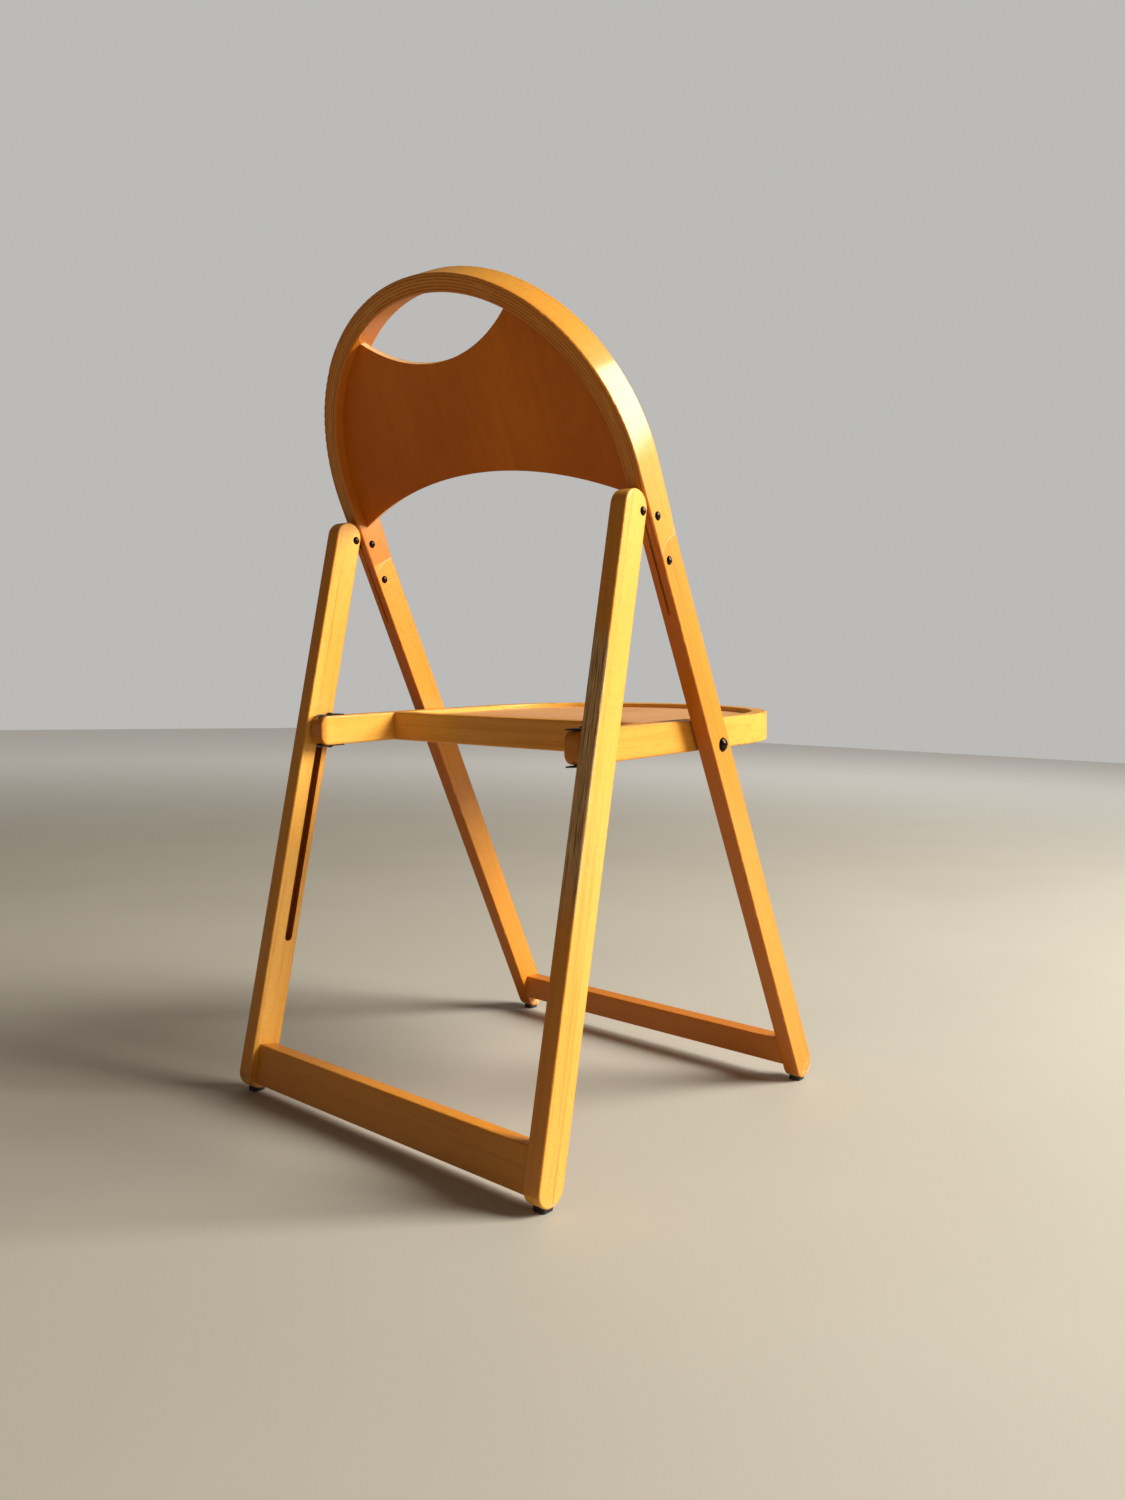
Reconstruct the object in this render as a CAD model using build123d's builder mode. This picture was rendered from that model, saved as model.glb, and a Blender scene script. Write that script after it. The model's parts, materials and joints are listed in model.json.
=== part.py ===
"""Folding chair of bent laminated beech, standing open.

Frame: X across (the sitter's left is +X), Y to the back, Z up, millimetres.
The origin is on the floor, under the middle of the chair's box.

Each pair of legs has a side plane whose first axis runs from the leg's rear edge to its
front edge (depth) and whose second axis runs up the leg (height along the leg).
"""
from build123d import *
from math import acos, asin, atan2, cos, degrees, hypot, radians, sin, sqrt, tan
import os

# ---------------------------------------------------------------- driving dimensions
width = 440.0                  # over the legs
leg_thickness = 19.0
arris = 2.0                    # rounding of every wooden edge

front_lean = 27.97             # degrees from upright, top to the back
front_depth = 33.3
front_joint = 675.0            # height along the leg of the joint between leg and hoop
hoop_centre = 756.0            # where the hoop's half circle is centred
hoop_depth = 36.8              # thins to the legs' depth at the joint
hoop_full = 775.0              # height from which it has its full depth

rear_lean = 9.12               # degrees from upright, top to the front
rear_depth = 35.0
rear_edge_at_floor = 472.5     # rear leg's rear edge behind the front leg's, at the floor
rear_round_height = 638.3      # where the rear leg's round top is centred

glide_height = 4.0             # wood stands this far off the floor
glide_width = 14.0
glide_corner = 3.0
glide_edge = 1.0
glide_rise = 5.0               # how far a glide cups the round end
nail_radius = 1.1
nail_head_radius = 2.5
nail_head_height = 1.0
nail_length = 15.0
nail_tip = 2.0
nail_recess = 1.0              # head above the glide's underside

leg_pivot_depth = 28.2         # on the rear leg
leg_pivot_height = 637.3
leg_pivot_radius = 2.5
small_head_radius = 4.6
small_head_height = 2.2

plate_thickness = 2.6
plate_ear_radius = 8.0
plate_ear_root = 5.0           # depth at which the ear joins the plate
plate_recess = 3.5             # plate's rear edge inside the saw cut
plate_low = 641.0
plate_high = 723.0
plate_rivets = ((10.2, 654.2), (10.4, 700.3))
plate_rivet_radius = 2.0
kerf_radius = 107.0            # of the saw cut that takes the plate
kerf_depth = 24.0
kerf_height = 667.5
ear_slot_width = 3.6
ear_slot_depth = 14.0          # the slot in the rear leg's top starts this deep
ear_slot_low = 622.0
turning_gap = 0.05             # radial gap of everything that turns

seat_pivot_depth = 19.8        # on the front leg
seat_pivot_height = 442.4
seat_bolt_radius = 3.0
seat_bolt_head_radius = 7.8
seat_bolt_head_height = 4.2
seat_nut_radius = 5.5
seat_nut_height = 3.0
seat_nut_edge = 1.0
washer_radius = 8.0
side_gap = 0.1                 # between the seat's arm and the washer or the nut

seat_tilt = 3.0                # degrees, front higher
seat_half_width = 198.0
seat_top = 26.5                # top face above the seat pivot, across the seat
rim_thickness = 19.0
rim_height = 33.3
seat_reach = 260.0             # pivot to the front
seat_corner_radius = 160.0
seat_front_radius = 230.0
arm_reach = 213.0              # pivot to the arms' ends
arm_end_round = 11.0
rail_back = 104.0              # cross rail's rear face behind the pivot
panel_recess = 5.5
seat_panel_thickness = 6.0
panel_tongue = 6.0             # how far each panel sits in its groove

back_panel_thickness = 7.5
back_panel_inset = 12.5
handle_radius = 170.4          # panel's upper edge
handle_centre = 1058.0
arch_radius = 464.3            # panel's lower edge
arch_centre = 302.7

rear_rail_depths = (8.0, 30.0)
rear_rail_heights = (13.5, 55.0)
front_rail_ys = (-10.0, 13.0)  # from the front legs' rear edge line at the floor
front_rail_zs = (20.0, 49.0)
dowel_radius = 4.0
dowel_in_leg = 13.0
dowel_in_rail = 18.0
rear_dowel_inset = 12.0        # from the rail's lower and upper edge
front_dowels = ((-1.0, 28.0), (4.0, 41.0))   # y and z of their centres

track_depth = 22.9             # centre line of the groove in the rear leg
track_width = 9.5
track_cut = 8.0
track_low = 167.0
slide_pin_radius = 3.5
pin_end_gap = 0.4              # pin's end to the leg's inner face
pin_flange_radius = 5.5
pin_flange = 2.0
bracket_steel = 1.5
bracket_reach = (176.0, 206.0)
bracket_corner = 6.0
flange_reach = (203.0, 216.0)  # at the web and at the flange's inner edge
bracket_flange = 14.0
bracket_rivet_y = 194.0

# ---------------------------------------------------------------- derived places
half = width / 2
inner = half - leg_thickness
front_tan = tan(radians(front_lean))
front_sin = sin(radians(front_lean))
front_cos = cos(radians(front_lean))
rear_sin = sin(radians(rear_lean))
rear_cos = cos(radians(rear_lean))
tilt_sin = sin(radians(seat_tilt))
tilt_cos = cos(radians(seat_tilt))


def on_front_leg(depth, height):
    """Y and Z of a point of the front leg, Y from that leg's rear edge at the floor."""
    return height * front_sin - depth * front_cos, height * front_cos + depth * front_sin


def on_rear_leg(depth, height):
    """Y and Z of a point of the rear leg, in the same frame."""
    y = rear_edge_at_floor - depth * rear_cos - height * rear_sin
    return y, height * rear_cos - depth * rear_sin


front_end_radius = front_depth / 2
front_end_height = (glide_height + front_end_radius * (1 - front_sin)) / front_cos
rear_end_radius = rear_depth / 2
rear_end_height = (glide_height + rear_end_radius * (1 + rear_sin)) / rear_cos
front_end = on_front_leg(front_end_radius, front_end_height)
rear_end = on_rear_leg(rear_end_radius, rear_end_height)
seat_pivot = on_front_leg(seat_pivot_depth, seat_pivot_height)
leg_pivot = on_rear_leg(leg_pivot_depth, leg_pivot_height)

seat_front_y = seat_pivot[0] - seat_reach * tilt_cos
middle = (seat_front_y + rear_end[0] + rear_end_radius) / 2

seat_bottom = seat_top - rim_height
arm_middle = (seat_top + seat_bottom) / 2
# the slide pin sits on the arm's centre line, where the groove's centre line crosses it
track_foot = on_rear_leg(track_depth, 0)
arm_start_y = seat_pivot[0] + arm_middle * tilt_sin
arm_start_z = seat_pivot[1] + arm_middle * tilt_cos
pin_reach = ((track_foot[0] - arm_start_y) * rear_cos + (track_foot[1] - arm_start_z) * rear_sin)
pin_reach = pin_reach / (tilt_cos * rear_cos - tilt_sin * rear_sin)
pin_y = arm_start_y + pin_reach * tilt_cos
pin_z = arm_start_z - pin_reach * tilt_sin
pin_height = (pin_z - track_foot[1]) / rear_cos

# the closed pose: legs parallel, pin at the lower end of the groove
fold_angle = front_lean + rear_lean
leg_gap = (leg_pivot[0] - front_tan * leg_pivot[1]) * front_cos
pin_arm = hypot(pin_reach, arm_middle)
closed_track_depth = -leg_gap - (leg_pivot_depth - track_depth)
closed_drop = sqrt(pin_arm ** 2 - (closed_track_depth - seat_pivot_depth) ** 2)
pin_open_angle = degrees(atan2(pin_z - seat_pivot[1], pin_y - seat_pivot[0]))
closed_lean = degrees(asin((seat_pivot_depth - closed_track_depth) / pin_arm))
seat_swing = pin_open_angle + 90 + front_lean - closed_lean

left_right = ((1, "left"), (-1, "right"))


def side_plane(x, lean, foot_y):
    """A leg's side plane at x: first axis depth, second axis up the leg, normal -X."""
    depth_axis = (0, -cos(radians(lean)), sin(radians(lean)))
    return Plane(origin=(x, foot_y - middle, 0), x_dir=depth_axis, z_dir=(-1, 0, 0))


def front_side(x):
    return side_plane(x, front_lean, 0)


def rear_side(x):
    return side_plane(x, -rear_lean, rear_edge_at_floor)


def upright_side(x):
    """Plane across X whose first axis is -Y and second axis is Z, for level pieces."""
    return side_plane(x, 0, 0)


def front_face(depth):
    """Plane of the hoop, this deep from its rear face: X across, second axis up the legs."""
    y, z = on_front_leg(depth, 0)
    return Plane(origin=(0, y - middle, z), x_dir=(1, 0, 0), z_dir=(0, -front_cos, front_sin))


def seat_plane(height):
    """Plane of the seat at a height above the pivot: X across, second axis to the back."""
    y = seat_pivot[0] - middle + height * tilt_sin
    z = seat_pivot[1] + height * tilt_cos
    return Plane(origin=(0, y, z), x_dir=(1, 0, 0), z_dir=(0, tilt_sin, tilt_cos))


def seat_side(x):
    """Plane across X through the pivot: first axis to the front, second axis up."""
    origin = (x, seat_pivot[0] - middle, seat_pivot[1])
    return Plane(origin=origin, x_dir=(0, -tilt_cos, tilt_sin), z_dir=(-1, 0, 0))


def outer_x(side):
    """Greater x of the leg on this side, where an extrusion along -X starts."""
    return half if side > 0 else -inner


def cut_hole(plane, at, radius, length):
    """Drill a hole of this length along the plane's normal, inside a part block."""
    with BuildSketch(plane) as spot:
        with Locations(at):
            Circle(radius)
    extrude(spot.sketch, amount=length, mode=Mode.SUBTRACT)


def turned(plane, stations):
    """A round piece turned about the plane's second axis: (radius, place) corners, and a
    corner whose radius is 0 after one that isn't closes with a domed end."""
    with BuildPart() as piece:
        with BuildSketch(plane):
            with BuildLine():
                for (r1, h1), (r2, h2) in zip(stations, stations[1:]):
                    dome = (r1 == 0) != (r2 == 0) and h1 != h2
                    if dome:
                        radius = max(r1, r2)
                        rise = abs(h1 - h2)
                        ball = (radius ** 2 + rise ** 2) / (2 * rise)
                        angle = asin(radius / ball) / 2
                        foot, up = (h1, h2 - h1) if r2 == 0 else (h2, h1 - h2)
                        lift = rise - ball * (1 - cos(angle))
                        halfway = (ball * sin(angle), foot + lift * up / rise)
                        ThreePointArc((r1, h1), halfway, (r2, h2))
                    else:
                        Line((r1, h1), (r2, h2))
                Line(stations[-1], stations[0])
            make_face()
        revolve(axis=Axis(plane.origin, plane.y_dir))
    return piece.part


def axle_plane(x, y, z):
    """Plane for turned pieces that lie along X: second axis +X."""
    return Plane(origin=(x, y - middle, z), x_dir=(0, 1, 0), z_dir=(0, 0, -1))


def rivet(plane, length, radius):
    """Domed head at both ends of a shank that starts at the plane's origin."""
    head = small_head_radius
    rise = small_head_height
    low = [(0, -rise), (head, 0), (radius, 0)]
    return turned(plane, low + [(radius, length), (head, length), (0, length + rise)])


def dowel(plane, at):
    """Plain peg across the joint in this plane, from inside the leg into the rail."""
    with BuildPart() as peg:
        with BuildSketch(plane):
            with Locations(at):
                Circle(dowel_radius)
        extrude(amount=dowel_in_leg + dowel_in_rail)
    return peg.part


def peg_start(side, face, in_this):
    """Greater x of a peg across the face at side * face, in_this deep in the outer piece."""
    return side * face + (in_this if side > 0 else dowel_in_leg + dowel_in_rail - in_this)


def soften(part, keep_faces, radius=arris):
    """Round every edge of the current part except those of the faces to keep sharp."""
    sharp = [edge for face in keep_faces for edge in face.edges()]
    fillet([edge for edge in part.edges() if edge not in sharp], radius)


def write(piece, name):
    piece.label = name
    export_step(piece, f"parts/{name}.step")


os.makedirs("parts", exist_ok=True)

# ---------------------------------------------------------------- panels and pegs first
with BuildPart() as back_panel:
    with BuildSketch(front_face(back_panel_inset)):
        with Locations((0, hoop_centre)):
            Circle(inner + panel_tongue)
        with Locations((0, handle_centre)):
            Circle(handle_radius, mode=Mode.SUBTRACT)
        with Locations((0, arch_centre)):
            Circle(arch_radius, mode=Mode.SUBTRACT)
    extrude(amount=back_panel_thickness)
write(back_panel.part, "back_panel")


def seat_outline(inset, back):
    """Closed outline of the seat, moved inwards by inset and closed square at the back."""
    corner_x = seat_half_width - seat_corner_radius
    front_y = seat_front_radius - seat_reach
    step = seat_front_radius - seat_corner_radius
    turn = degrees(acos(corner_x / step))
    corner_y = front_y - sqrt(step ** 2 - corner_x ** 2)
    x = seat_half_width - inset
    corner = seat_corner_radius - inset
    Line((x, back), (x, corner_y))
    CenterArc((corner_x, corner_y), corner, 0, -turn)
    CenterArc((0, front_y), seat_front_radius - inset, -turn, 2 * turn - 180)
    CenterArc((-corner_x, corner_y), corner, turn - 180, -turn)
    Line((-x, corner_y), (-x, back))
    Line((-x, back), (x, back))


with BuildPart() as seat_panel:
    panel_low = seat_top - panel_recess - seat_panel_thickness
    with BuildSketch(seat_plane(panel_low)):
        with BuildLine():
            seat_outline(rim_thickness - panel_tongue, rail_back - rim_thickness + panel_tongue)
        make_face()
    extrude(amount=seat_panel_thickness)
write(seat_panel.part, "seat_panel")

rail_middle = -(rail_back - rim_thickness / 2)
rail_pegs = []
rear_pegs = []
front_pegs = []
for side, name in left_right:
    start = peg_start(side, seat_half_width - rim_thickness, dowel_in_leg)
    for height in (seat_bottom + rim_height / 4, seat_top - rim_height / 4 - panel_recess):
        rail_pegs.append(dowel(seat_side(start), (rail_middle, height)))
    start = peg_start(side, inner, dowel_in_leg)
    low_peg = rear_rail_heights[0] + rear_dowel_inset
    high_peg = rear_rail_heights[1] - rear_dowel_inset
    for height in (low_peg, high_peg):
        rear_pegs.append(dowel(rear_side(start), (sum(rear_rail_depths) / 2, height)))
    for y, z in front_dowels:
        front_pegs.append(dowel(upright_side(start), (-y, z)))

with BuildPart() as cross_rail_dowels:
    add(rail_pegs)
write(cross_rail_dowels.part, "cross_rail_dowels")

with BuildPart() as rear_stretcher_dowels:
    add(rear_pegs)
write(rear_stretcher_dowels.part, "rear_stretcher_dowels")

with BuildPart() as front_stretcher_dowels:
    add(front_pegs)
write(front_stretcher_dowels.part, "front_stretcher_dowels")

# ---------------------------------------------------------------- fasteners
plate_rivet_parts = []
leg_rivet_parts = []
front_nails = []
rear_nails = []
for side, name in left_right:
    low_x = outer_x(side) - leg_thickness
    for depth, height in plate_rivets:
        y, z = on_front_leg(depth, height)
        plate_rivet_parts.append(rivet(axle_plane(low_x, y, z), leg_thickness, plate_rivet_radius))
    y, z = leg_pivot
    leg_rivet_parts.append(rivet(axle_plane(low_x, y, z), leg_thickness, leg_pivot_radius))
    for nails, end in ((front_nails, front_end), (rear_nails, rear_end)):
        foot = (low_x + leg_thickness / 2, end[0] - middle, nail_recess)
        upwards = Plane(origin=foot, x_dir=(1, 0, 0), z_dir=(0, -1, 0))
        head = [(0, 0), (nail_head_radius, 0), (nail_head_radius, nail_head_height)]
        shank = [(nail_radius, nail_head_height), (nail_radius, nail_length)]
        nails.append(turned(upwards, head + shank + [(0, nail_length + nail_tip)]))

with BuildPart() as hinge_plate_rivets:
    add(plate_rivet_parts)
write(hinge_plate_rivets.part, "hinge_plate_rivets")

with BuildPart() as leg_pivot_rivets:
    add(leg_rivet_parts)
write(leg_pivot_rivets.part, "leg_pivot_rivets")

with BuildPart() as front_glide_nails:
    add(front_nails)
write(front_glide_nails.part, "front_glide_nails")

with BuildPart() as rear_glide_nails:
    add(rear_nails)
write(rear_glide_nails.part, "rear_glide_nails")

arm_inner = seat_half_width - rim_thickness
washers = []
nuts = []
bolts = {}
for side, name in left_right:
    # along +X on the left, along -X on the right, from the arm's inner face outwards
    hub = Plane(
        origin=(side * (arm_inner - side_gap), seat_pivot[0] - middle, seat_pivot[1]),
        x_dir=(0, side, 0),
        z_dir=(0, 0, -1),
    )
    shank = half - arm_inner + side_gap
    head = [(seat_bolt_head_radius, shank), (0, shank + seat_bolt_head_height)]
    end = -seat_nut_height / 2
    stations = [(0, end), (seat_bolt_radius, end), (seat_bolt_radius, shank)]
    bolts[name] = turned(hub, stations + head)
    nut_low = -seat_nut_height
    corners = [(seat_bolt_radius, end), (seat_bolt_radius, 0), (seat_nut_radius, 0)]
    chamfer_low = (seat_nut_radius - seat_nut_edge, nut_low)
    chamfer = [(seat_nut_radius, nut_low + seat_nut_edge), chamfer_low]
    nuts.append(turned(hub, [(0, nut_low), (0, end)] + corners + chamfer))
    near = rim_thickness + 2 * side_gap
    far = near + inner - seat_half_width - side_gap
    ring = [(seat_bolt_radius, near), (washer_radius, near)]
    washers.append(turned(hub, ring + [(washer_radius, far), (seat_bolt_radius, far)]))

for side, name in left_right:
    write(bolts[name], f"seat_bolt_{name}")

with BuildPart() as seat_bolt_washers:
    add(washers)
write(seat_bolt_washers.part, "seat_bolt_washers")

with BuildPart() as seat_bolt_nuts:
    add(nuts)
write(seat_bolt_nuts.part, "seat_bolt_nuts")


def cut_kerf(side):
    """Saw cut for the hinge plate, in the leg and in the end of the hoop."""
    start = side * (half - leg_thickness / 2) + plate_thickness / 2
    at = (kerf_depth - kerf_radius, kerf_height)
    cut_hole(front_side(start), at, kerf_radius, plate_thickness)


# ---------------------------------------------------------------- front frame
with BuildPart() as back_hoop:
    with BuildSketch(front_face(0)):
        with BuildLine():
            Line((half, front_joint), (half, hoop_centre))
            CenterArc((0, hoop_centre), half, 0, 180)
            Line((-half, hoop_centre), (-half, front_joint))
            Line((-half, front_joint), (-inner, front_joint))
            Line((-inner, front_joint), (-inner, hoop_centre))
            CenterArc((0, hoop_centre), inner, 180, -180)
            Line((inner, hoop_centre), (inner, front_joint))
            Line((inner, front_joint), (half, front_joint))
        make_face()
    extrude(amount=hoop_depth)
    with BuildSketch(front_side(half)):
        with BuildLine():
            rise = hoop_full - front_joint
            grow = hoop_depth - front_depth
            Line((front_depth, front_joint), (hoop_depth + grow, front_joint))
            Line((hoop_depth + grow, front_joint), (hoop_depth + grow, hoop_full))
            Line((hoop_depth + grow, hoop_full), (hoop_depth, hoop_full))
            RadiusArc(
                (hoop_depth, hoop_full), (front_depth, front_joint), (rise**2 + grow**2) / (2 * grow)
            )
        make_face()
    extrude(amount=width, mode=Mode.SUBTRACT)
    soften(back_hoop, back_hoop.faces().group_by(Axis((0, 0, 0), (0, front_sin, front_cos)))[0])
    for side, name in left_right:
        cut_kerf(side)
        cut_hole(front_side(outer_x(side)), plate_rivets[1], plate_rivet_radius, leg_thickness)
    add(back_panel.part, mode=Mode.SUBTRACT)
write(back_hoop.part, "back_hoop")

for side, name in left_right:
    x = outer_x(side)
    with BuildPart() as front_leg:
        with BuildSketch(front_side(x)):
            with BuildLine():
                Line((0, front_end_height), (0, front_joint))
                Line((0, front_joint), (front_depth, front_joint))
                Line((front_depth, front_joint), (front_depth, front_end_height))
                CenterArc((front_end_radius, front_end_height), front_end_radius, 0, -180)
            make_face()
        extrude(amount=leg_thickness)
        up_leg = Axis((0, 0, 0), (0, front_sin, front_cos))
        soften(front_leg, front_leg.faces().group_by(up_leg)[-1])
        cut_kerf(side)
        cut_hole(front_side(x), plate_rivets[0], plate_rivet_radius, leg_thickness)
        cut_hole(front_side(x), (seat_pivot_depth, seat_pivot_height), seat_bolt_radius, leg_thickness)
        add(front_pegs, mode=Mode.SUBTRACT)
        add(front_glide_nails.part, mode=Mode.SUBTRACT)
    write(front_leg.part, f"front_leg_{name}")

    plate_x = side * (half - leg_thickness / 2) + plate_thickness / 2
    ear = (-leg_gap, leg_pivot[0] * front_sin + leg_pivot[1] * front_cos)
    with BuildPart() as hinge_plate:
        with BuildSketch(front_side(plate_x)):
            with Locations((kerf_depth - kerf_radius, kerf_height)):
                Circle(kerf_radius)
            with Locations(((plate_recess + kerf_depth) / 2, (plate_low + plate_high) / 2)):
                plate_size = (kerf_depth - plate_recess, plate_high - plate_low)
                Rectangle(*plate_size, mode=Mode.INTERSECT)
            with Locations(ear):
                Circle(plate_ear_radius)
            with BuildLine():
                Polyline(
                    (ear[0], ear[1] - plate_ear_radius),
                    (plate_ear_root, ear[1] - 2 * plate_ear_radius),
                    (plate_ear_root, plate_high),
                    (ear[0], ear[1] + plate_ear_radius),
                    close=True,
                )
            make_face()
        extrude(amount=plate_thickness)
        for rivet_place in plate_rivets:
            cut_hole(front_side(plate_x), rivet_place, plate_rivet_radius, plate_thickness)
        cut_hole(front_side(plate_x), ear, leg_pivot_radius + turning_gap, plate_thickness)
    write(hinge_plate.part, f"hinge_plate_{name}")

with BuildPart() as front_stretcher:
    with BuildSketch(upright_side(inner)):
        with Locations((-sum(front_rail_ys) / 2, sum(front_rail_zs) / 2)):
            RectangleRounded(
                front_rail_ys[1] - front_rail_ys[0], front_rail_zs[1] - front_rail_zs[0], arris
            )
    extrude(amount=2 * inner)
    add(front_pegs, mode=Mode.SUBTRACT)
write(front_stretcher.part, "front_stretcher")

# ---------------------------------------------------------------- rear frame
for side, name in left_right:
    x = outer_x(side)
    with BuildPart() as rear_leg:
        with BuildSketch(rear_side(x)):
            with BuildLine():
                Line((0, rear_end_height), (0, rear_round_height))
                CenterArc((rear_end_radius, rear_round_height), rear_end_radius, 180, -180)
                Line((rear_depth, rear_round_height), (rear_depth, rear_end_height))
                CenterArc((rear_end_radius, rear_end_height), rear_end_radius, 0, -180)
            make_face()
        extrude(amount=leg_thickness)
        soften(rear_leg, [])
        cut_hole(rear_side(x), (leg_pivot_depth, leg_pivot_height), leg_pivot_radius, leg_thickness)
        slot_x = side * (half - leg_thickness / 2) + ear_slot_width / 2
        with BuildSketch(rear_side(slot_x)):
            with Locations((ear_slot_depth, ear_slot_low)):
                Rectangle(rear_depth, 2 * rear_depth, align=(Align.MIN, Align.MIN))
        extrude(amount=ear_slot_width, mode=Mode.SUBTRACT)
        track_x = inner + track_cut if side > 0 else -inner
        track_high = pin_height + track_width / 2
        with BuildSketch(rear_side(track_x)):
            with Locations((track_depth, (track_low + track_high) / 2)):
                SlotOverall(track_high - track_low, track_width, rotation=90)
        extrude(amount=track_cut, mode=Mode.SUBTRACT)
        add(rear_pegs, mode=Mode.SUBTRACT)
        add(rear_glide_nails.part, mode=Mode.SUBTRACT)
    write(rear_leg.part, f"rear_leg_{name}")

with BuildPart() as rear_stretcher:
    with BuildSketch(rear_side(inner)):
        with Locations((sum(rear_rail_depths) / 2, sum(rear_rail_heights) / 2)):
            RectangleRounded(
                rear_rail_depths[1] - rear_rail_depths[0],
                rear_rail_heights[1] - rear_rail_heights[0],
                arris,
            )
    extrude(amount=2 * inner)
    add(rear_pegs, mode=Mode.SUBTRACT)
write(rear_stretcher.part, "rear_stretcher")

# ---------------------------------------------------------------- glides
for pair, end, radius, nails in (
    ("front", front_end, front_end_radius, front_glide_nails),
    ("rear", rear_end, rear_end_radius, rear_glide_nails),
):
    with BuildPart() as glides:
        for side, name in left_right:
            centre_x = side * (half - leg_thickness / 2)
            with BuildSketch(Plane(origin=(centre_x, end[0] - middle, 0))):
                RectangleRounded(glide_width, glide_width, glide_corner)
            extrude(amount=glide_height + glide_rise)
            fillet(glides.faces().sort_by(Axis.Z)[0].edges(), glide_edge)
        with BuildSketch(upright_side(half)):
            with Locations((-end[0], end[1])):
                Circle(radius)
        extrude(amount=width, mode=Mode.SUBTRACT)
        add(nails.part, mode=Mode.SUBTRACT)
    write(glides.part, f"{pair}_foot_glides")

# ---------------------------------------------------------------- seat
pin_place = (-pin_reach, arm_middle)
with BuildPart() as seat_rim:
    with BuildSketch(seat_plane(seat_bottom)):
        with BuildLine():
            seat_outline(0, arm_reach)
        make_face()
        with BuildLine():
            seat_outline(rim_thickness, arm_reach)
        make_face(mode=Mode.SUBTRACT)
    extrude(amount=rim_height)
    to_back = Axis((0, 0, 0), (0, tilt_cos, -tilt_sin))
    ends = seat_rim.faces().group_by(to_back)[-1].edges()
    fillet(ends.filter_by(Axis.X), arm_end_round)
    soften(seat_rim, [])
    hole = seat_bolt_radius + turning_gap
    cut_hole(seat_side(seat_half_width), (0, 0), hole, rim_thickness)
    cut_hole(seat_side(-arm_inner), (0, 0), hole, rim_thickness)
    cut_hole(seat_side(seat_half_width), pin_place, pin_flange_radius, pin_flange)
    cut_hole(seat_side(pin_flange - seat_half_width), pin_place, pin_flange_radius, pin_flange)
    for side, name in left_right:
        spot = (side * (seat_half_width - rim_thickness / 2), bracket_rivet_y)
        cut_hole(seat_plane(seat_bottom), spot, plate_rivet_radius, rim_height)
    add(seat_panel.part, mode=Mode.SUBTRACT)
    add(rail_pegs, mode=Mode.SUBTRACT)
write(seat_rim.part, "seat_rim")

with BuildPart() as seat_cross_rail:
    with BuildSketch(seat_side(arm_inner)):
        with Locations((rail_middle, arm_middle)):
            RectangleRounded(rim_thickness, rim_height, arris)
    extrude(amount=2 * arm_inner)
    add(seat_panel.part, mode=Mode.SUBTRACT)
    add(rail_pegs, mode=Mode.SUBTRACT)
write(seat_cross_rail.part, "seat_cross_rail")

bracket_rivet_parts = []
for side, name in left_right:
    web_x = seat_half_width + bracket_steel if side > 0 else -seat_half_width
    length = bracket_reach[1] - bracket_reach[0]
    outer_height = rim_height + 2 * bracket_steel
    rivet_x = side * (seat_half_width - rim_thickness / 2)
    with BuildPart() as bracket:
        with BuildSketch(seat_side(web_x)) as web:
            with Locations((-sum(bracket_reach) / 2, arm_middle)):
                Rectangle(length, outer_height)
            fillet(web.vertices().group_by(Axis.X)[0], bracket_corner)
        extrude(amount=bracket_steel)
        for height in (seat_bottom - bracket_steel, seat_top):
            with BuildSketch(seat_plane(height)):
                at_web = side * seat_half_width
                at_edge = side * (seat_half_width - bracket_flange)
                with BuildLine():
                    Polyline(
                        (at_web, bracket_reach[0]),
                        (at_edge, bracket_reach[0]),
                        (at_edge, flange_reach[1]),
                        (at_web, flange_reach[0]),
                        close=True,
                    )
                make_face()
            extrude(amount=bracket_steel)
        cut_hole(seat_side(web_x), pin_place, slide_pin_radius, bracket_steel)
        spot = (rivet_x, bracket_rivet_y)
        cut_hole(seat_plane(seat_bottom - bracket_steel), spot, plate_rivet_radius, outer_height)
    write(bracket.part, f"seat_bracket_{name}")

    low = seat_plane(seat_bottom - bracket_steel)
    rivet_foot = low.from_local_coords((rivet_x, bracket_rivet_y, 0))
    upright = Plane(origin=rivet_foot, x_dir=(1, 0, 0), z_dir=-low.y_dir)
    bracket_rivet_parts.append(rivet(upright, outer_height, plate_rivet_radius))

    pin_from = seat_half_width - pin_flange
    pin_plane = Plane(
        origin=(side * pin_from, pin_y - middle, pin_z), x_dir=(0, side, 0), z_dir=(0, 0, -1)
    )
    tip = inner - pin_end_gap - pin_from
    pin_flange_line = [(0, 0), (pin_flange_radius, 0), (pin_flange_radius, pin_flange)]
    pin_line = [(slide_pin_radius, pin_flange), (slide_pin_radius, tip), (0, tip)]
    write(turned(pin_plane, pin_flange_line + pin_line), f"slide_pin_{name}")

with BuildPart() as bracket_rivets:
    add(bracket_rivet_parts)
write(bracket_rivets.part, "bracket_rivets")

print("leg pivot y, z:", round(leg_pivot[0] - middle, 4), round(leg_pivot[1], 4))
print("seat pivot y, z:", round(seat_pivot[0] - middle, 4), round(seat_pivot[1], 4))
print("slide pin y, z:", round(pin_y - middle, 4), round(pin_z, 4), "leg gap", round(leg_gap, 2))
print("fold", round(fold_angle, 3), "seat swing", round(seat_swing, 3), "drop", round(closed_drop, 1))
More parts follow.
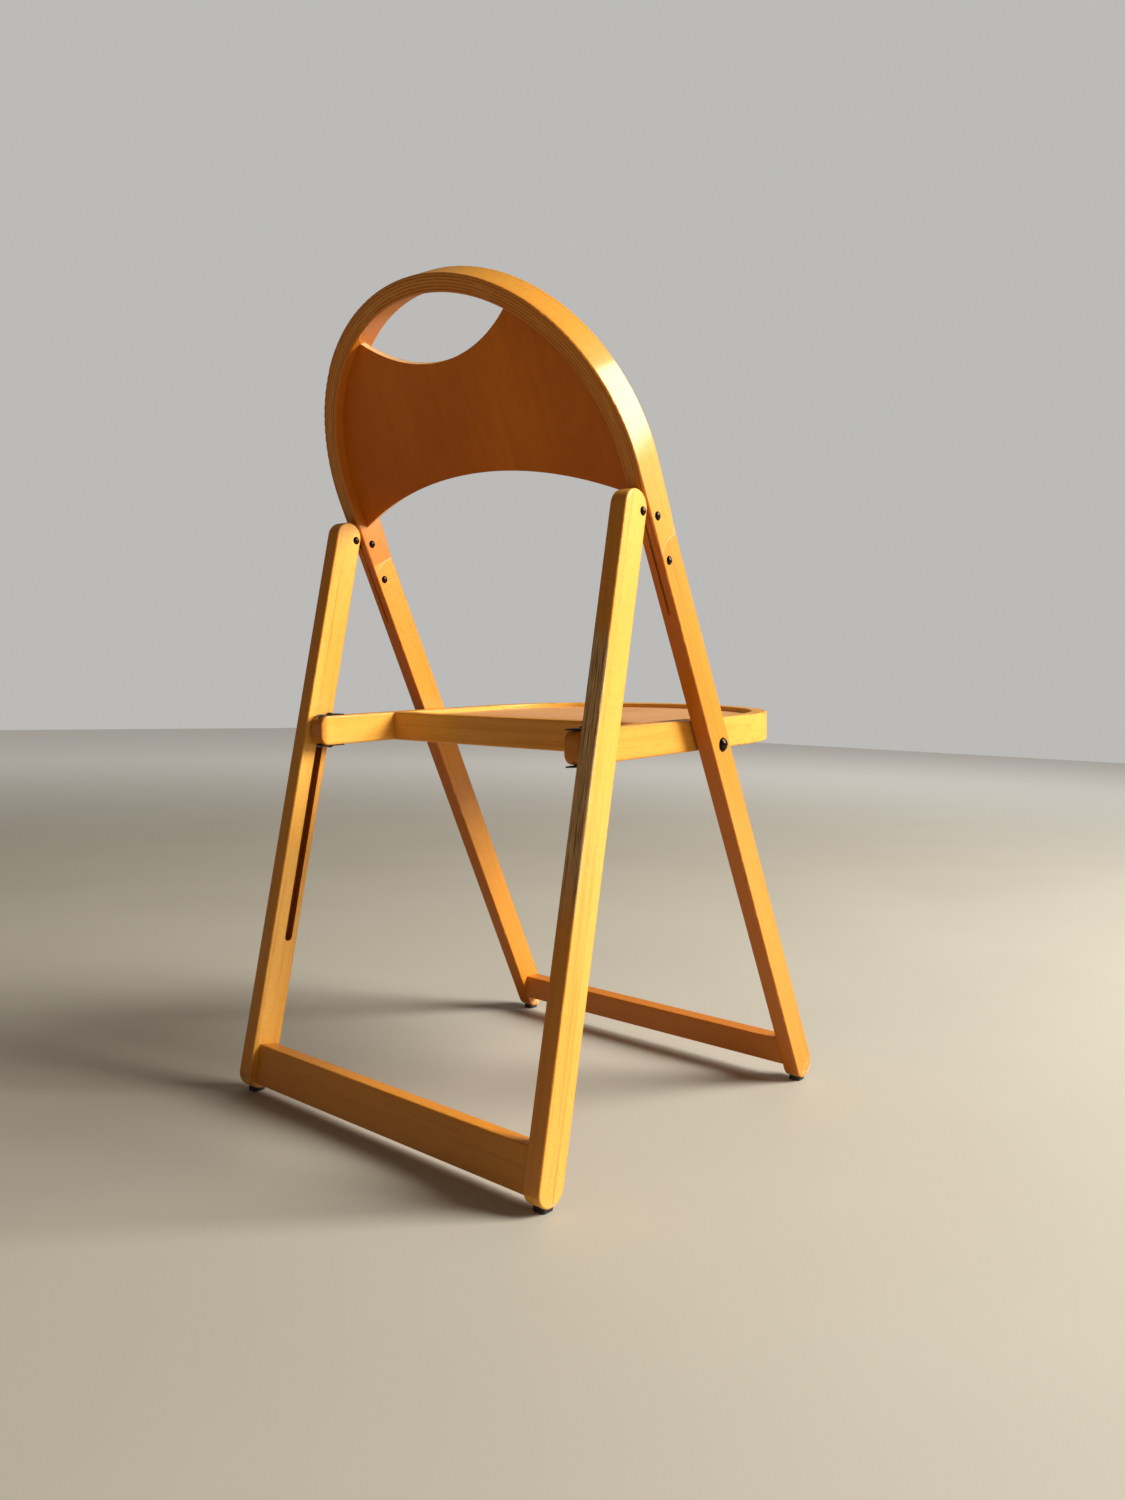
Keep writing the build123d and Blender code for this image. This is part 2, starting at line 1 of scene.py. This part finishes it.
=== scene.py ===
"""Looks of a folding chair of bent, honey-lacquered beech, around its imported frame."""
import bmesh
import bpy
from math import cos, pi, radians, sin
from mathutils import Matrix, Vector
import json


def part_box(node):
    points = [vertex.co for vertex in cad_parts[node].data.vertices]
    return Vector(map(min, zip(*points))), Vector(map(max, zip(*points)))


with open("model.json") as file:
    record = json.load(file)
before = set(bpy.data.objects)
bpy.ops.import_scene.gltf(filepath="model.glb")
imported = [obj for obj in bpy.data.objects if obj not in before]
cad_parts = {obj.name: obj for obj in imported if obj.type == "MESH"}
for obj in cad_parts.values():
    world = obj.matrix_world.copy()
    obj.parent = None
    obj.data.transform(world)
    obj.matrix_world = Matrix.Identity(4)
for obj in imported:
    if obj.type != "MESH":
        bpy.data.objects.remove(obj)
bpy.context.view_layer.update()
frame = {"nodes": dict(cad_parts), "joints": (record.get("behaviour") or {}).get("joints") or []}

# ---------------------------------------------------------------- places on the frame: its pivots and two sizes read from it, the rest given as numbers
pivots = {joint["name"]: Vector(joint["pos_m"]) for joint in frame["joints"]}
front_lean = radians(27.97)
rear_lean = radians(9.12)
seat_tilt = radians(3.0)
seat_pivot = pivots["seat_fold"]
leg_pivot = pivots["leg_fold"]
seat_pivot_depth = 0.0198         # from the front leg's rear edge
seat_pivot_height = 0.4424        # along the front leg, from the floor
leg_pivot_depth = 0.0282          # from the rear leg's rear edge
leg_pivot_height = 0.6373
bar_thickness = 0.019             # of every leg, of the hoop and of the seat's rim
front_leg_depth = 0.0333
rear_leg_depth = 0.035
leg_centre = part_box("front_leg_left")[1][0] - bar_thickness / 2
hoop_centre = 0.756               # along the front leg's line
hoop_inner = 0.201                # radius of its inner face
hoop_grain_radius = 0.21          # where the length of its grain is measured
hoop_depth = 0.0368
joint_height = 0.675              # where the hoop meets the legs
joint_curve = 0.012               # how much lower the glue line is at the rear edge
groove_depth = 0.0229             # from the rear leg's rear edge to the groove's centre line
groove_middle = 0.287             # along the rear leg
groove_half_length = 0.1275
groove_half_width = 0.0050
rim_inner = 0.179                 # radius of the seat rim's inner face
rim_grain_radius = 0.2
rim_bottom = -0.0062              # from the seat pivot, square to the seat
rim_top = 0.0258
arms_start = -0.03                # where the rim's round front ends
arm_end = (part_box("seat_rim")[1][1] - seat_pivot.y) * cos(seat_tilt)
back_faces = (0.0125, 0.0200)     # the panels' two faces, on the number across each panel
seat_faces = (0.0150, 0.0210)


# ---------------------------------------------------------------- shader arithmetic
class Value:
    """A shader socket that plain arithmetic can be done on."""

    def __init__(self, graph, socket):
        self.graph = graph
        self.socket = socket

    def _math(self, operation, *values):
        return self.graph.node("ShaderNodeMath", {"operation": operation}, *values)

    def __add__(self, other):
        return self._math("ADD", self, other)

    def __sub__(self, other):
        return self._math("SUBTRACT", self, other)

    def __mul__(self, other):
        return self._math("MULTIPLY", self, other)

    def __truediv__(self, other):
        return self._math("DIVIDE", self, other)

    def __radd__(self, other):
        return self._math("ADD", other, self)

    def __rsub__(self, other):
        return self._math("SUBTRACT", other, self)

    def __rmul__(self, other):
        return self._math("MULTIPLY", other, self)

    def __abs__(self):
        return self._math("ABSOLUTE", self)

    def root(self):
        return self._math("SQRT", self)

    def sine(self):
        return self._math("SINE", self)

    def least(self, other):
        return self._math("MINIMUM", self, other)

    def most(self, other):
        return self._math("MAXIMUM", self, other)

    def ramp(self, low, high):
        """0 at low, 1 at high, smooth between them; low may be the greater one."""
        settings = {"interpolation_type": "SMOOTHSTEP"}
        if low <= high:
            return self.graph.node("ShaderNodeMapRange", settings, self, low, high)
        return 1 - self.graph.node("ShaderNodeMapRange", settings, self, high, low)


class Graph:
    """The nodes of one material."""

    def __init__(self, name):
        self.material = bpy.data.materials.new(name)
        self.material.use_nodes = True
        self.tree = self.material.node_tree
        self.shader = self.tree.nodes["Principled BSDF"]

    def node(self, kind, settings, *values, out=0, **named):
        """A node with its settings, then its sockets' values or links in order or by name."""
        made = self.tree.nodes.new(kind)
        for key, setting in settings.items():
            setattr(made, key, setting)
        for key, value in list(enumerate(values)) + list(named.items()):
            self.feed(made.inputs[key], value)
        return Value(self, made.outputs[out])

    def feed(self, socket, value):
        if isinstance(value, Value):
            self.tree.links.new(value.socket, socket)
        else:
            socket.default_value = value

    def place(self):
        """Object coordinates as three numbers."""
        here = self.node("ShaderNodeTexCoord", {}, out="Object")
        apart = self.node("ShaderNodeSeparateXYZ", {}, here)
        outputs = apart.socket.node.outputs
        return [Value(self, outputs[axis]) for axis in "XYZ"]

    def vector(self, x, y, z):
        return self.node("ShaderNodeCombineXYZ", {}, x, y, z)

    def noise(self, vector, scale, detail=3.0, roughness=0.5):
        return self.node(
            "ShaderNodeTexNoise", {}, Vector=vector, Scale=scale, Detail=detail, Roughness=roughness,
        )

    def stretched(self, along, across, through, detail, roughness=0.5):
        """Noise at three numbers that already carry its scale along each of them."""
        return self.noise(self.vector(along, across, through), 1.0, detail, roughness)

    def mix(self, factor, first, second):
        """Mix of two colours, each a link or three numbers."""
        made = self.tree.nodes.new("ShaderNodeMix")
        made.data_type = "RGBA"
        factor_in, first_in, second_in = made.inputs[0], made.inputs[6], made.inputs[7]
        for socket, value in ((factor_in, factor), (first_in, first), (second_in, second)):
            self.feed(socket, (*value, 1.0) if isinstance(value, tuple) else value)
        return Value(self, made.outputs[2])

    def bump(self, height, distance):
        return self.node("ShaderNodeBump", {}, Strength=1.0, Distance=distance, Height=height)

    def finish(self, **sockets):
        """Feeds the shader's own sockets, named with _ for a space."""
        for name, value in sockets.items():
            value = (*value, 1.0) if isinstance(value, tuple) else value
            self.feed(self.shader.inputs[name.replace("_", " ")], value)
        return self.material

    def lacquer(self, colour, gloss, relief, depth=0.0002, coat=0.40, haze=0.14):
        """Clear lacquer over wood; depth is that of its grain in metres."""
        return self.finish(
            Base_Color=colour, Roughness=gloss, Coat_Weight=coat, Coat_Roughness=haze,
            Normal=self.bump(relief, depth), IOR=1.5, Specular_IOR_Level=0.15,
        )


# ---------------------------------------------------------------- places on a piece
def on_front_leg(graph):
    """x, depth from the rear edge and height along the front legs' line, in metres."""
    x, y, z = graph.place()
    y = y - seat_pivot.y
    z = z - seat_pivot.z
    depth = z * sin(front_lean) - y * cos(front_lean) + seat_pivot_depth
    height = y * sin(front_lean) + z * cos(front_lean) + seat_pivot_height
    return x, depth, height


def on_rear_leg(graph):
    """x, depth from the rear edge and height along the rear legs' line, in metres."""
    x, y, z = graph.place()
    y = y - leg_pivot.y
    z = z - leg_pivot.z
    depth = leg_pivot_depth - z * sin(rear_lean) - y * cos(rear_lean)
    height = z * cos(rear_lean) - y * sin(rear_lean) + leg_pivot_height
    return x, depth, height


def on_seat(graph):
    """x, distance behind the seat pivot and height above it, square to the seat."""
    x, y, z = graph.place()
    y = y - seat_pivot.y
    z = z - seat_pivot.z
    back = y * cos(seat_tilt) - z * sin(seat_tilt)
    up = y * sin(seat_tilt) + z * cos(seat_tilt)
    return x, back, up


# ---------------------------------------------------------------- wood
pale_honey = (0.86, 0.450, 0.080)
deep_honey = (0.78, 0.330, 0.035)
painted_shade_honey = (0.60, 0.205, 0.010)  # painted shade: the deeper tone of the front legs and the hoop
painted_shade_amber = (0.47, 0.118, 0.003)    # painted shade on the narrow front and rear faces, the hoop's inner face, the arms' ends and the rails
amber_streak = (0.48, 0.130, 0.006)
fleck_brown = (0.24, 0.055, 0.005)
# rubbed wear on the long edges, with a painted highlight along them
rub_and_highlight_pale = (0.84, 0.48, 0.13)
raw_grey = (0.62, 0.35, 0.150)
raw_pale = (0.88, 0.60, 0.32)
raw_dark = (0.12, 0.042, 0.012)
# painted shade inside the rear legs' grooves
groove_painted_shade = (0.22, 0.046, 0.004)
chip_pale = (0.72, 0.56, 0.38)
ply_dark = (0.26, 0.060, 0.005)
ply_pale = (0.86, 0.44, 0.12)
mark_black = (0.10, 0.022, 0.003)
raw_ply_pale = (0.80, 0.50, 0.24)
raw_ply_dark = (0.40, 0.16, 0.04)
# painted shade: the back panel's veneer in the deep tone of the shaded rear faces
shaded_back_tones = ((0.60, 0.155, 0.003), (0.48, 0.108, 0.002))
# the seat veneer's own tone, paled and greyed by a painted sheen
seat_tones_with_sheen = ((0.70, 0.35, 0.140), (0.60, 0.27, 0.100))


def beech(graph, along, across, through, seed, tone=0.0, painted_shade_share=0.0):
    """Lacquered beech with its grain along the first number: colour, gloss and relief."""
    cloud = graph.stretched(along * 2.2 + seed, across * 14.0, through * 14.0, 2.0)
    bands = graph.stretched(along * 3.0 + seed, across * 160.0, through * 160.0, 4.0, 0.6)
    fibres = graph.stretched(along * 40.0 + seed, across * 1000.0, through * 1000.0, 2.0)
    rays = graph.stretched(along * 240.0 + seed, across * 1300.0, through * 1300.0, 1.0)
    specks = graph.stretched(along * 60.0 + seed, across * 110.0, through * 110.0, 2.0)
    flecks = rays.ramp(0.60, 0.72)
    shade = (cloud.ramp(0.32, 0.68) * 0.8 + tone).least(1.0).most(0.0)
    # painted shade: the given share pulls both honeys towards the deeper shaded tone
    pale, deep = (
        tuple(fresh + (old - fresh) * painted_shade_share for fresh, old in zip(honey, painted_shade_honey))
        for honey in (pale_honey, deep_honey)
    )
    colour = graph.mix(shade, pale, deep)
    colour = graph.mix(bands.ramp(0.48, 0.80) * 0.50, colour, amber_streak)
    colour = graph.mix(fibres.ramp(0.45, 0.75) * 0.20, colour, amber_streak)
    colour = graph.mix(flecks * 0.22, colour, fleck_brown)
    colour = graph.mix(specks.ramp(0.75, 0.80) * 0.55, colour, fleck_brown)
    gloss = 0.42 + cloud * 0.14 + flecks * 0.10
    relief = fibres * 0.5 + flecks * -0.6 + bands * 0.3
    return colour, gloss, relief


def narrow_faces(depth, full_depth, band, fade):
    """1 on a bar's front and rear faces, fading out over band to fade from each."""
    return depth.ramp(band, fade).most((depth - full_depth).ramp(-band, -fade))


def long_edges(across, depth, full_depth):
    """1 along the four long edges of a bar, from its two cross-wise numbers."""
    masks = []
    for number, half in ((across, bar_thickness / 2), (depth - full_depth / 2, full_depth / 2)):
        masks.append(abs(number).ramp(half - 0.0030, half - 0.0004))
    return masks[0] * masks[1]


def glue_joint(graph, colour, x, depth, height):
    """Above a curved glue line, lower at the rear edge, the leg's top is the hoop's wood."""
    below = 1 - depth / front_leg_depth
    seam = height - (joint_height - 0.0006 - below * below * below * joint_curve)
    # the hoop's wood, in its deeper tone of painted shade
    hoop_colour, *unused = beech(graph, height, depth, abs(x) - hoop_inner, 3.0, painted_shade_share=0.6)
    colour = graph.mix(seam.ramp(-0.0002, 0.0002), colour, hoop_colour)
    return graph.mix(abs(seam).ramp(0.0009, 0.0003) * 0.4, colour, chip_pale)


def bare_rear_face(graph, x, depth, height):
    """The stretch that has lost its lacquer: where it is, its colour and its relief."""
    grain = graph.stretched(height * 13.0, depth * 300.0, x * 900.0, 4.0, 0.7)
    lines = graph.stretched(height * 40.0, depth * 500.0, x * 1500.0, 2.0)
    ragged = graph.stretched(height * 16.0, depth * 60.0, x * 260.0, 3.0) - 0.5
    top = (height + ragged * 0.12).ramp(0.535, 0.495)
    bottom = (height + ragged * 0.16).ramp(0.235, 0.300)
    rear = (depth + ragged * 0.0030).ramp(0.0036, 0.0012)
    raw = graph.mix(grain.ramp(0.38, 0.54), raw_dark, raw_grey)
    raw = graph.mix(lines.ramp(0.54, 0.66) * 0.65, raw, raw_pale)
    return top * bottom * rear, raw, grain * 5.0 + lines * 1.5


def straight_leg(name, place, full_depth, seed, worn=False, grooved=False, scarfed=False):
    """A leg: grain along it, painted shade on its front and rear faces and in its groove, rubbed edges
    with a painted highlight, a glue line at its top or a worn rear face.
    """
    graph = Graph(name)
    x, depth, height = place(graph)
    inside = abs(x) - leg_centre
    # the front legs take the deeper tone of painted shade
    colour, gloss, relief = beech(graph, height, depth, x, seed, painted_shade_share=0.7 if scarfed else 0.0)
    if scarfed:
        colour = glue_joint(graph, colour, x, depth, height)
    narrow = narrow_faces(depth, full_depth, 0.0026, 0.0006)
    # painted shade darkens the front and rear faces
    colour = graph.mix(narrow * (0.85 if scarfed else 0.62), colour, painted_shade_amber)
    # the long edges pale in patches: rubbed wear and a painted highlight
    rub = graph.stretched(height * 60.0, depth * 200.0, x * 200.0, 3.0)
    edge = long_edges(inside, depth, full_depth)
    colour = graph.mix(edge * rub.ramp(0.50, 0.66) * 0.30, colour, rub_and_highlight_pale)
    chips = graph.stretched(height * 240.0, depth * 240.0, x * 240.0, 3.0)
    foot = height.ramp(0.018, 0.002) * chips.ramp(0.52, 0.60)
    colour = graph.mix(foot * 0.6, colour, chip_pale)
    coat = 0.40 - edge * 0.15 - foot * 0.5
    if worn:
        bare, raw, raw_relief = bare_rear_face(graph, x, depth, height)
        colour = graph.mix(bare, colour, raw)
        gloss = gloss + bare * 0.5
        coat = coat * (1 - bare)
        relief = relief * (1 - bare) + bare * raw_relief
    if grooved:
        # painted shade darkens the groove's inside, which is also left without lacquer
        sunk = inside.ramp(-0.0093, -0.0086) * inside.ramp(0.004, 0.002)
        sunk = sunk * abs(depth - groove_depth).ramp(groove_half_width + 0.0006, groove_half_width)
        sunk = sunk * abs(height - groove_middle).ramp(groove_half_length + 0.0010, groove_half_length)
        colour = graph.mix(sunk * 0.85, colour, groove_painted_shade)
        coat = coat * (1 - sunk)
        gloss = gloss + sunk * 0.3
    return graph.lacquer(colour, gloss, relief, 0.00022, coat)


def stretcher_wood(name, place, seed, tone=0.15, painted_shade_share=0.25):
    """A rail: grain from side to side, deepened towards amber with painted shade."""
    graph = Graph(name)
    x, depth, height = place(graph)
    colour, gloss, relief = beech(graph, x, depth, height, seed, tone)
    # painted shade: the given share darkens the rail towards amber
    return graph.lacquer(graph.mix(painted_shade_share, colour, painted_shade_amber), gloss, relief)


def laminated(graph, along, radial, through, seed, painted_shade_share=0.0):
    """Bent laminations: beech whose veneers show as lines on the faces that cut them."""
    plies = 6
    colour, gloss, relief = beech(graph, along, through, radial, seed, painted_shade_share=painted_shade_share)
    wander = graph.stretched(along * 8.0 + seed, radial * 120.0, through * 30.0, 2.0)
    phase = (radial / bar_thickness + (wander - 0.5) * 0.035) * plies
    line = abs((phase * pi).sine()).ramp(0.62, 0.12)
    alternate = (phase * pi * 0.5).sine()
    return colour, gloss, relief, line, alternate


def around(graph, across, ahead):
    """The distance from the middle of a bend and the angle about it."""
    reach = (across * across + ahead * ahead).root()
    return reach, graph.node("ShaderNodeMath", {"operation": "ARCTAN2"}, ahead, across)


def hoop_wood():
    """The back's hoop: plies along its narrow faces, painted shade on them and on its inner face."""
    graph = Graph("hoop laminations")
    x, depth, height = on_front_leg(graph)
    reach, turn = around(graph, x, (height - hoop_centre).most(0.0))
    radial = reach - hoop_inner
    along = turn * hoop_grain_radius + height.least(hoop_centre)
    colour, gloss, relief, line, alternate = laminated(graph, along, radial, depth, 3.0, painted_shade_share=0.5)
    flat = narrow_faces(depth, hoop_depth, 0.0022, 0.0006)
    wear = graph.stretched(along * 30.0, radial * 500.0, depth * 60.0, 3.0)
    # painted shade on the narrow faces, varying a little from ply to ply
    colour = graph.mix(flat * (0.55 + alternate * 0.12), colour, painted_shade_amber)
    colour = graph.mix(flat * line * wear.ramp(0.25, 0.45) * 0.85, colour, ply_dark)
    colour = graph.mix(flat * line * wear.ramp(0.54, 0.64) * 0.45, colour, ply_pale)
    # painted shade on the inner face
    colour = graph.mix(radial.ramp(0.0016, 0.0004) * 0.70, colour, painted_shade_amber)
    return graph.lacquer(colour, gloss, relief - flat * line * 1.5)


def rim_wood():
    """The seat's rim: a round front, straight arms behind, plies along top and bottom."""
    graph = Graph("seat rim laminations")
    x, back, up = on_seat(graph)
    reach, turn = around(graph, x, (back - arms_start).least(0.0))
    along = turn * rim_grain_radius + back.most(arms_start)
    colour, gloss, relief, line, alternate = laminated(graph, along, reach - rim_inner, up, 7.0)
    flat = up.ramp(rim_bottom + 0.0022, rim_bottom).most(up.ramp(rim_top - 0.0020, rim_top))
    colour = graph.mix(flat * (alternate * 0.5 + 0.5) * 0.30, colour, amber_streak)
    colour = graph.mix(flat * line * 0.35, colour, ply_dark)
    # painted shade darkens the arms' rear-facing end grain
    colour = graph.mix(back.ramp(arm_end - 0.011, arm_end - 0.002) * 0.8, colour, painted_shade_amber)
    return graph.lacquer(colour, gloss, relief - flat * line)


def veneer(name, place, seed, base, dark, shine, faces, across_first=False):
    """A thin plywood panel: quiet figure, fine flecks, pale plies on the edges between faces."""
    graph = Graph(name)
    x, second, third = place(graph)
    first, cross, through = (third, x, second) if across_first else (second, x, third)
    cloud = graph.stretched(first * 6.0 + seed, cross * 8.0, 0.0, 4.0, 0.6)
    figure = graph.stretched(first * 5.0 + seed, cross * 120.0, 0.0, 4.0, 0.6)
    flecks = graph.stretched(first * 260.0 + seed, cross * 1100.0, 0.0, 1.0).ramp(0.58, 0.72)
    marks = graph.stretched(first * 60.0 + seed, cross * 60.0, 0.0, 2.0).ramp(0.74, 0.79)
    colour = graph.mix(cloud.ramp(0.28, 0.72), base, dark)
    colour = graph.mix(figure.ramp(0.42, 0.72) * 0.40, colour, dark)
    colour = graph.mix(flecks * 0.25, colour, fleck_brown)
    colour = graph.mix(marks * 0.6, colour, mark_black)
    low, high = faces
    edge = (through - low).ramp(0.0003, 0.0007) * (high - through).ramp(0.0003, 0.0007)
    plies = 5.0
    ply = abs(((through - low) / (high - low) * plies * pi).sine()).ramp(0.5, 0.2)
    colour = graph.mix(edge, colour, graph.mix(ply * 0.6, raw_ply_pale, raw_ply_dark))
    gloss = 0.38 + cloud * 0.16 + edge * 0.2
    relief = flecks * -0.5 + figure * 0.5
    return graph.lacquer(colour, gloss, relief, 0.00015, shine, 0.24)


def bare_beech():
    """The pegs' wood, without lacquer."""
    graph = Graph("bare beech pegs")
    x, y, z = graph.place()
    fibres = graph.stretched(x * 60.0, y * 900.0, z * 900.0, 3.0)
    colour = graph.mix(fibres, (0.66, 0.46, 0.27), (0.50, 0.32, 0.17))
    return graph.finish(Base_Color=colour, Roughness=0.6 + fibres * 0.2)


# ---------------------------------------------------------------- metal and plastic
def metal(name, base, worn, rough, metallic=1.0):
    """Bronzed, plain or black steel, with patches of the worn colour."""
    graph = Graph(name)
    x, y, z = graph.place()
    here = graph.vector(x, y, z)
    patch = graph.noise(here, 420.0, 4.0, 0.6)
    fine = graph.noise(here, 2400.0, 2.0)
    colour = graph.mix(patch.ramp(0.45, 0.70) * 0.5, base, worn)
    gloss = rough + fine * 0.16 - patch * 0.08
    return graph.finish(
        Base_Color=colour, Metallic=metallic, Roughness=gloss,
        Normal=graph.bump(patch * 0.6 + fine * 0.4, 0.00012),
    )


def glide_plastic():
    """The feet's hard dark plastic, scuffed."""
    graph = Graph("scuffed dark glides")
    x, y, z = graph.place()
    here = graph.vector(x, y, z)
    scuff = graph.noise(here, 380.0, 4.0, 0.65)
    colour = graph.mix(scuff.ramp(0.52, 0.70), (0.022, 0.018, 0.015), (0.12, 0.09, 0.07))
    return graph.finish(
        Base_Color=colour, Roughness=0.55 + scuff * 0.3, Normal=graph.bump(scuff, 0.0003),
    )


def dress(material, *names):
    """Gives CAD nodes their finish."""
    for name in names:
        slots = frame["nodes"][name].material_slots
        for slot in slots:
            slot.link = "OBJECT"
            slot.material = material
        if not slots:
            frame["nodes"][name].data.materials.append(material)


dress(hoop_wood(), "back_hoop")
for side, front_seed, rear_seed, worn in (("left", 11.0, 23.0, False), ("right", 17.0, 29.0, True)):
    front = straight_leg(
        f"front leg beech {side}", on_front_leg, front_leg_depth, front_seed, scarfed=True,
    )
    rear = straight_leg(
        f"rear leg beech {side}", on_rear_leg, rear_leg_depth, rear_seed, worn, grooved=True,
    )
    dress(front, f"front_leg_{side}")
    dress(rear, f"rear_leg_{side}")
# the rails are darkened with painted shade
dress(stretcher_wood("front rail beech", on_front_leg, 31.0, painted_shade_share=0.8), "front_stretcher")
dress(stretcher_wood("rear rail beech", on_rear_leg, 37.0, painted_shade_share=0.5), "rear_stretcher")
dress(stretcher_wood("seat rail beech", on_seat, 41.0, 0.1), "seat_cross_rail")
dress(rim_wood(), "seat_rim")
# the back panel carries painted shade in its tones
back_wood = veneer("back panel veneer", on_front_leg, 43.0, *shaded_back_tones, 0.15, back_faces, True)
dress(back_wood, "back_panel")
# the seat panel's tones carry a painted sheen
seat_wood = veneer("seat panel veneer", on_seat, 47.0, *seat_tones_with_sheen, 0.3, seat_faces)
dress(seat_wood, "seat_panel")
dress(bare_beech(), "front_stretcher_dowels", "rear_stretcher_dowels", "cross_rail_dowels")
bronze = metal("dark bronze heads", (0.016, 0.010, 0.007), (0.07, 0.045, 0.03), 0.14)
dress(bronze, "hinge_plate_rivets", "leg_pivot_rivets", "seat_bolt_left", "seat_bolt_right")
dress(bronze, "seat_bolt_nuts", "bracket_rivets")
steel = metal("plain steel", (0.30, 0.29, 0.27), (0.16, 0.11, 0.07), 0.34)
dress(steel, "seat_bolt_washers", "slide_pin_left", "slide_pin_right")
dress(steel, "front_glide_nails", "rear_glide_nails")
plate = metal("dark hinge plates", (0.05, 0.035, 0.024), (0.16, 0.11, 0.07), 0.36)
dress(plate, "hinge_plate_left", "hinge_plate_right")
black = metal("black japanned steel", (0.012, 0.011, 0.011), (0.07, 0.05, 0.035), 0.38, 0.6)
dress(black, "seat_bracket_left", "seat_bracket_right")
dress(glide_plastic(), "front_foot_glides", "rear_foot_glides")


# ---------------------------------------------------------------- floor, light and camera
def lamp(name, place, target, size, watts, colour):
    """A flat soft lamp, turned to its target."""
    data = bpy.data.lights.new(name, "AREA")
    data.shape = "RECTANGLE"
    data.size, data.size_y = size
    data.energy = watts
    data.color = colour
    made = bpy.data.objects.new(name, data)
    bpy.context.collection.objects.link(made)
    made.location = place
    made.rotation_euler = (Vector(target) - Vector(place)).to_track_quat("-Z", "Y").to_euler()


def floor():
    """A pale floor whose far part is paled and made to glow with painted light, so it pales into the
    air behind it.
    """
    half_size = 9.0
    shape = bmesh.new()
    bmesh.ops.create_grid(shape, x_segments=1, y_segments=1, size=half_size)
    mesh = bpy.data.meshes.new("floor")
    shape.to_mesh(mesh)
    shape.free()
    made = bpy.data.objects.new("floor", mesh)
    bpy.context.collection.objects.link(made)
    graph = Graph("pale floor")
    x, y, z = graph.place()
    soft = graph.noise(graph.vector(x, y, z), 3.0, 2.0)
    # painted light: far from the chair the floor pales and glows
    far_glow = (x * x + y * y).root().ramp(1.6, 6.0)
    near = graph.mix(soft, (0.40, 0.37, 0.33), (0.44, 0.41, 0.37))
    mesh.materials.append(graph.finish(
        Base_Color=graph.mix(far_glow, near, (0.55, 0.54, 0.52)), Roughness=0.6 + soft * 0.1,
        Emission_Color=graph.mix(far_glow, (0.0, 0.0, 0.0), (0.24, 0.236, 0.226)), Emission_Strength=1.0,
    ))


def air():
    """Even light, dim and warm where it falls on the chair and pale where it is seen."""
    lighting, seen = 0.145, 0.50
    lighting_colour, seen_colour = (1.0, 0.84, 0.62, 1.0), (1.0, 0.99, 0.96, 1.0)
    world = bpy.data.worlds.new("studio air")
    bpy.context.scene.world = world
    world.use_nodes = True
    nodes, links = world.node_tree.nodes, world.node_tree.links
    background = nodes["Background"]
    sight = nodes.new("ShaderNodeLightPath").outputs["Is Camera Ray"]
    strength = nodes.new("ShaderNodeMapRange")
    strength.inputs["To Min"].default_value = lighting
    strength.inputs["To Max"].default_value = seen
    links.new(sight, strength.inputs["Value"])
    links.new(strength.outputs["Result"], background.inputs["Strength"])
    colour = nodes.new("ShaderNodeMix")
    colour.data_type = "RGBA"
    factor, first, second = colour.inputs[0], colour.inputs[6], colour.inputs[7]
    first.default_value = lighting_colour
    second.default_value = seen_colour
    links.new(sight, factor)
    links.new(colour.outputs[2], background.inputs["Color"])


def studio():
    floor()
    air()
    lamp("window", (-2.75, -1.85, 2.45), (0, 0.1, 0.45), (1.7, 2.5), 360, (1.0, 0.98, 0.86))
    lamp("far floor", (1.2, -5.0, 3.2), (1.2, -5.6, 0), (5.0, 4.0), 60, (1.0, 0.98, 0.95))
    bpy.context.scene.view_settings.view_transform = "Standard"


def camera():
    """Low and behind the chair's right side, turned a little on its axis."""
    data = bpy.data.cameras.new("camera")
    data.sensor_width = 36.0
    data.lens = 26.6
    data.shift_x = -0.0011
    data.shift_y = -0.0549
    made = bpy.data.objects.new("camera", data)
    bpy.context.collection.objects.link(made)
    turn = Matrix.Rotation(radians(219.86), 4, "Z") @ Matrix.Rotation(radians(91.33), 4, "X")
    turn = turn @ Matrix.Rotation(radians(1.573), 4, "Z")
    made.matrix_world = Matrix.Translation((-0.8385, 0.99551, 0.4493)) @ turn
    bpy.context.scene.camera = made


studio()
camera()
